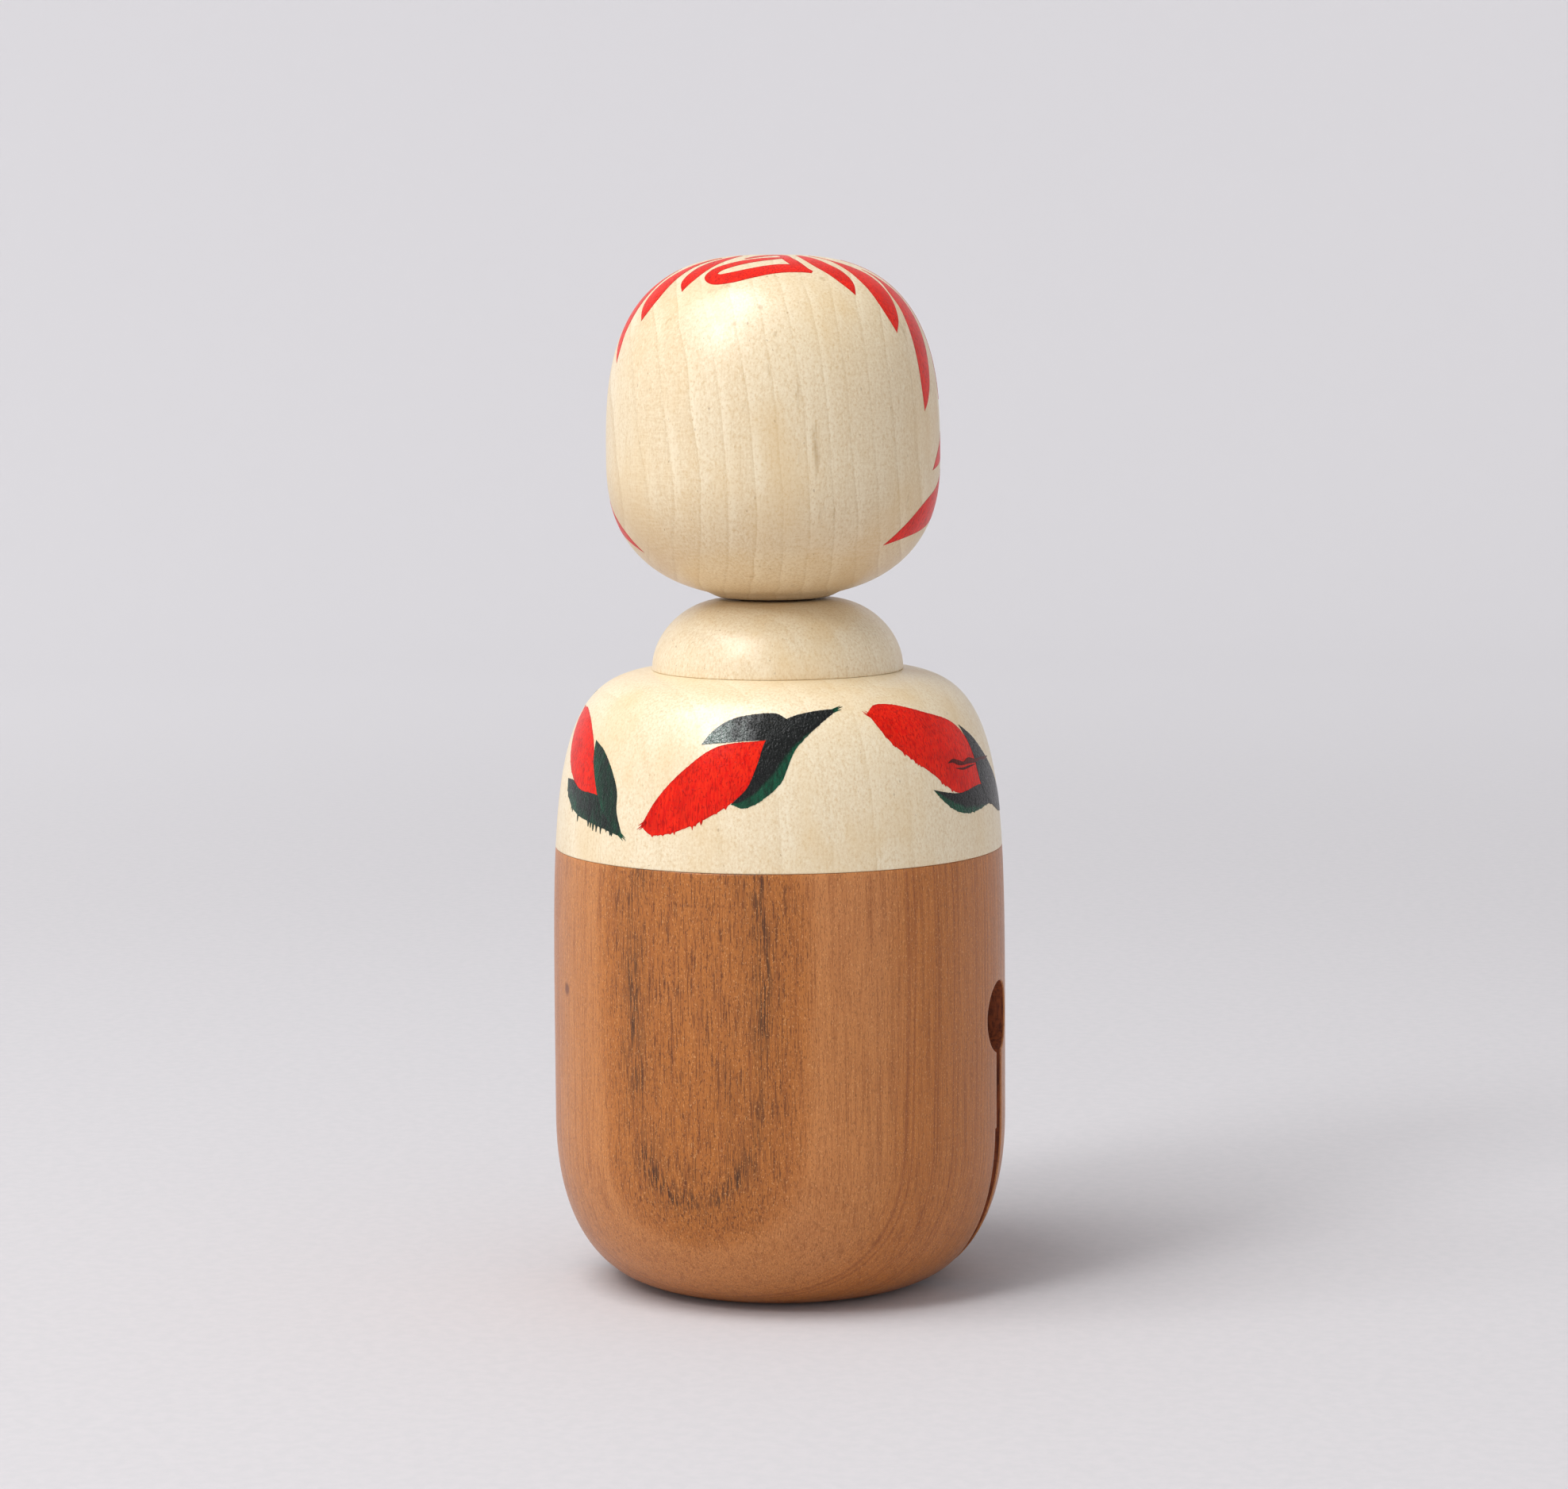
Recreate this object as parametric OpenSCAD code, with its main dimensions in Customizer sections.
// Kokeshi doll with a wooden bell for a body. Lengths in millimetres, angles in degrees.
// The doll stands on the XY plane with its turning axis on Z, and its face looks towards -Y.

/* [Bell body] */
// Height of the joint between the dark bell and the light upper body
seam_z = 52.2; // [49:0.1:56]
// Largest radius of the body
body_r = 26.9; // [26:0.1:30]
// Height at which the body is widest
belly_z = 20.5; // [16:0.1:25]
// Radius of the flat foot
foot_r = 13.2; // [12:0.1:18]
// Squareness of the underside between foot and belly, where 2 is an ellipse
foot_n = 2.35; // [2:0.05:3]
// Thickness of the bell's wall at its widest
wall = 7; // [5:0.1:8]
// Thickness of the wood under the sound chamber
floor_t = 7; // [5:0.1:8]

/* [Sound holes and slit] */
// Diameter of the two round holes that end the slit
hole_d = 8.5; // [6:0.1:10]
// Height of the centre of both holes
hole_z = 32.5; // [30:0.1:35]
// Width of the saw cut that runs under the foot from hole to hole
slit_w = 2.2; // [1.5:0.1:3]
// Extra width of the second saw cut, on the back side
slit_step = 0.5; // [0.1:0.1:1]
// Height to which the second saw cut reaches
slit_step_z = 19.3; // [13:0.1:25]

/* [Upper body] */
// Height of the top of the shoulder
shoulder_z = 73.3; // [69:0.1:77]
// Radius inside which the shoulder is level
shoulder_r = 5.6; // [5:0.1:9]
// Squareness of the shoulder, where 2 is an ellipse
shoulder_n = 5; // [3:0.1:8]
// Depth of the spigot that closes the sound chamber
spigot_h = 6; // [4:0.1:8]

/* [Neck collar] */
// Radius of the domed collar at its base
collar_r = 14.9; // [12:0.1:17]
// Radius of the level top of the collar
collar_top_r = 6.3; // [5.5:0.1:8]
// Squareness of the collar's dome
collar_n = 1.9; // [1.5:0.1:3]
// Radius of the collar's spigot
collar_spigot_r = 9; // [7:0.1:11]
// Depth of the collar's spigot
collar_spigot_h = 3; // [2:0.1:5]

/* [Head] */
// Height of the crown, which is the height of the whole doll
crown_z = 121.9; // [117:0.1:127]
// Height at which the head is widest
temple_z = 98.4; // [96:0.1:101]
// Height of the chin
chin_z = 81.55; // [79:0.05:83]
// Largest radius of the head
head_r = 19.7; // [17:0.1:22]
// Squareness of the head above its widest point
crown_n = 2.8; // [2:0.1:4]
// Squareness of the head below its widest point
chin_n = 2.5; // [2:0.1:4]
// How far the head is turned off the axis of its dowel hole
head_offset = 0.4; // [0:0.1:1]

/* [Neck dowel] */
// Radius of the dowel that carries the head
dowel_r = 4.5; // [3.5:0.1:5]
// Depth of the dowel in the head
dowel_in_head = 15; // [10:0.5:20]
// Depth of the dowel below the top of the shoulder
dowel_in_body = 14; // [10:0.5:20]
// Chamfer on both ends of the dowel
dowel_chamfer = 0.6; // [0.2:0.1:1]

/* [Rattle ball] */
// Radius of the wooden ball in the sound chamber
ball_r = 7.5; // [6:0.1:9]

/* [Fits] */
// Radial clearance of the dowel where it turns in the collar and the upper body
running_gap = 0.05; // [0.02:0.01:0.1]
// Room for glue round a fixed spigot or dowel
glue_gap = 0.05; // [0.02:0.01:0.1]
// Clearance between the head and the collar
head_gap = 0.1; // [0.05:0.05:0.3]
// Clearance between the ball and the chamber's floor
ball_gap = 0.25; // [0.2:0.05:0.5]
// Room left at the bottom of a blind hole
end_gap = 0.5; // [0.2:0.1:1]

/* [Hidden] */
$fn = 128;
// Steps along each quarter curve
STEPS = 32;
// Length by which a cutter passes the face that it cuts
PAST = 1;
chamber_r = body_r - wall;
chamber_z = floor_t + chamber_r;
collar_top_z = chin_z - head_gap;
dowel_top_z = chin_z + dowel_in_head;
dowel_bottom_z = shoulder_z - dowel_in_body;
ball_z = chamber_z - (chamber_r - ball_r - ball_gap);

// Quarter of a superellipse, from its widest point to its end
function quarter(wide_r, wide_z, end_r, end_z, n) = [
    for (i = [0:STEPS])
        let (a = 90 * i / STEPS)
        [
            end_r + (wide_r - end_r) * pow(cos(a), 2 / n),
            wide_z + (end_z - wide_z) * pow(sin(a), 2 / n)
        ]
];

function reverse(points) = [for (i = [len(points) - 1:-1:0]) points[i]];

// Radius of the body's outside at height z, from its widest point up
function body_radius(z) =
    let (t = (z - belly_z) / (shoulder_z - belly_z))
    shoulder_r + (body_r - shoulder_r) * pow(1 - pow(t, shoulder_n), 1 / shoulder_n);

flank = quarter(body_r, belly_z, shoulder_r, shoulder_z, shoulder_n);
seam_r = body_radius(seam_z);

// Round hole along Z, open past its mouth at the given height
module bore(r, bottom_z, mouth_z) {
    translate([0, 0, bottom_z])
        cylinder(r = r, h = mouth_z - bottom_z + PAST);
}

// Hollow of the bell: a bowl floor with a straight wall above it
module sound_chamber() {
    translate([0, 0, chamber_z])
        sphere(r = chamber_r);
    bore(chamber_r, chamber_z, seam_z);
}

// Saw cut through both walls and the floor, up to height top_z
module saw_cut(width, top_z) {
    translate([-body_r - PAST, -slit_w / 2, -PAST])
        cube([2 * (body_r + PAST), width, top_z + PAST]);
}

// Keyhole shape of the slit: two cuts of different width that end in one drilled hole per side
module sound_slit() {
    saw_cut(slit_w, hole_z);
    saw_cut(slit_w + slit_step, slit_step_z);
    translate([0, 0, hole_z])
        rotate([0, 90, 0])
            cylinder(d = hole_d, h = 2 * (body_r + PAST), center = true);
}

module bell_body() {
    foot = reverse(quarter(body_r, belly_z, foot_r, 0, foot_n));
    side = [for (p = flank) if (p[1] > belly_z && p[1] < seam_z) p];
    color("peru")
        difference() {
            rotate_extrude()
                polygon(concat([[0, 0]], foot, side, [[seam_r, seam_z], [0, seam_z]]));
            sound_chamber();
            sound_slit();
        }
}

module upper_body() {
    shoulder = [for (p = flank) if (p[1] > seam_z) p];
    spigot_r = chamber_r - glue_gap;
    spigot_z = seam_z - spigot_h;
    spigot = [[0, spigot_z], [spigot_r, spigot_z], [spigot_r, seam_z], [seam_r, seam_z]];
    color("blanchedalmond")
        difference() {
            rotate_extrude()
                polygon(concat(spigot, shoulder, [[0, shoulder_z]]));
            bore(collar_spigot_r + glue_gap, shoulder_z - collar_spigot_h - end_gap, shoulder_z);
            bore(dowel_r + running_gap, dowel_bottom_z - end_gap, shoulder_z);
        }
}

module neck_collar() {
    dome = quarter(collar_r, shoulder_z, collar_top_r, collar_top_z, collar_n);
    spigot_z = shoulder_z - collar_spigot_h;
    spigot = [[0, spigot_z], [collar_spigot_r, spigot_z], [collar_spigot_r, shoulder_z]];
    color("wheat")
        difference() {
            rotate_extrude()
                polygon(concat(spigot, dome, [[0, collar_top_z]]));
            bore(dowel_r + running_gap, spigot_z - PAST, collar_top_z);
        }
}

module neck_dowel() {
    tip_r = dowel_r - dowel_chamfer;
    color("burlywood")
        rotate_extrude()
            polygon([
                [0, dowel_bottom_z],
                [tip_r, dowel_bottom_z],
                [dowel_r, dowel_bottom_z + dowel_chamfer],
                [dowel_r, dowel_top_z - dowel_chamfer],
                [tip_r, dowel_top_z],
                [0, dowel_top_z]
            ]);
}

module head() {
    jaw = reverse(quarter(head_r, temple_z, 0, chin_z, chin_n));
    scalp = [for (p = quarter(head_r, temple_z, 0, crown_z, crown_n)) if (p[1] > temple_z) p];
    socket_top_z = dowel_top_z + end_gap;
    color("blanchedalmond")
        difference() {
            translate([head_offset, 0, 0])
                rotate_extrude()
                    polygon(concat(jaw, scalp));
            translate([0, 0, chin_z - PAST])
                cylinder(r = dowel_r + glue_gap, h = socket_top_z - chin_z + PAST);
        }
}

module rattle_ball() {
    color("sandybrown")
        translate([0, 0, ball_z])
            sphere(r = ball_r);
}

bell_body();
upper_body();
neck_collar();
neck_dowel();
head();
rattle_ball();
